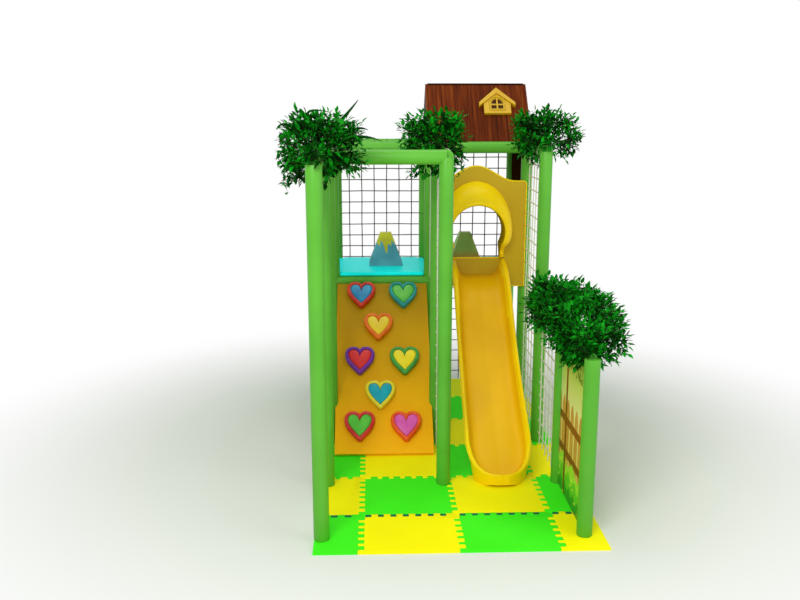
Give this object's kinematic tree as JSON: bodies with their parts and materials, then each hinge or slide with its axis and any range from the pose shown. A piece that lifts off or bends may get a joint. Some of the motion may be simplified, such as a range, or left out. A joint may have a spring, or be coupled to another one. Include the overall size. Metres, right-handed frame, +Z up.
{
  "type": "indoor playground",
  "caption": "Padded pipe-frame indoor playground with a climbing ramp, a raised deck, a hooded slide, rope nets, a small gable roof and foam floor mats.",
  "frame": {"origin": "underside of the floor mats, straight below the post in the middle column of the middle row", "axes": "+X to the slide's side, +Y from the open front to the netted back, +Z up"},
  "size_m": [2.1652, 3.439, 2.764],
  "materials": {
    "sleeve_green": "satin",
    "steel_tube": "satin",
    "mat_foam": "matte",
    "pad_cyan": "satin",
    "peak_yellow": "satin",
    "peak_green": "satin",
    "ramp_orange": "satin",
    "hold_red": "glossy",
    "hold_orange": "glossy",
    "hold_teal": "glossy",
    "hold_purple": "glossy",
    "hold_green": "glossy",
    "hold_yellow": "glossy",
    "moulded_yellow": "satin",
    "net_rope": "matte",
    "brown_wood": "satin",
    "gable_wood": "satin",
    "fence_board": "satin",
    "leaf_green": "satin"
  },
  "bodies": {
    "root": {"post_a1": "sleeve_green", "post_a2": "sleeve_green", "post_a3": "sleeve_green", "post_a4": "sleeve_green", "post_a5": "sleeve_green", "post_b2": "sleeve_green", "post_b3": "sleeve_green", "post_b4": "sleeve_green", "post_b5": "sleeve_green", "post_c1": "sleeve_green", "post_c2": "sleeve_green", "post_c3": "sleeve_green", "post_c4": "sleeve_green", "post_c5": "sleeve_green", "top_rail_row_5": "sleeve_green", "top_rail_left": "sleeve_green", "top_rail_row_2": "sleeve_green", "top_rail_middle": "sleeve_green", "top_rail_right": "sleeve_green", "top_rail_row_4_left": "sleeve_green", "top_rail_row_4_right": "sleeve_green", "low_rail_right": "sleeve_green", "deck_rail_row_4_left": "sleeve_green", "deck_rail_row_4_right": "sleeve_green", "deck_rail_row_5_left": "sleeve_green", "deck_rail_row_5_right": "sleeve_green", "pipe_frame": "steel_tube", "floor_mats": "mat_foam", "deck_pad_left": "pad_cyan", "deck_pad_right": "pad_cyan", "foam_peak_left": "peak_yellow", "foam_peak_right": "peak_green", "climbing_ramp": "ramp_orange", "heart_red_blue": "hold_red", "heart_teal_green": "hold_teal", "heart_orange_yellow": "hold_orange", "heart_purple_red": "hold_purple", "heart_green_yellow": "hold_green", "heart_yellow_cyan": "hold_yellow", "heart_red_green": "hold_red", "heart_orange_pink": "hold_orange", "slide": "moulded_yellow", "hood_panel": "moulded_yellow", "roof_ornament": "moulded_yellow", "net_back": "net_rope", "net_left": "net_rope", "net_middle_front": "net_rope", "net_middle_back": "net_rope", "net_right_low": "net_rope", "net_right_high": "net_rope", "wood_wall_panel": "brown_wood", "roof_front_board": "brown_wood", "roof_back_board": "brown_wood", "roof_left_gable": "gable_wood", "roof_right_gable": "gable_wood", "fence_panel": "fence_board", "shrub_left": "leaf_green", "shrub_middle": "leaf_green", "shrub_right": "leaf_green", "hedge_right": "leaf_green"}
  },
  "joints": []
}
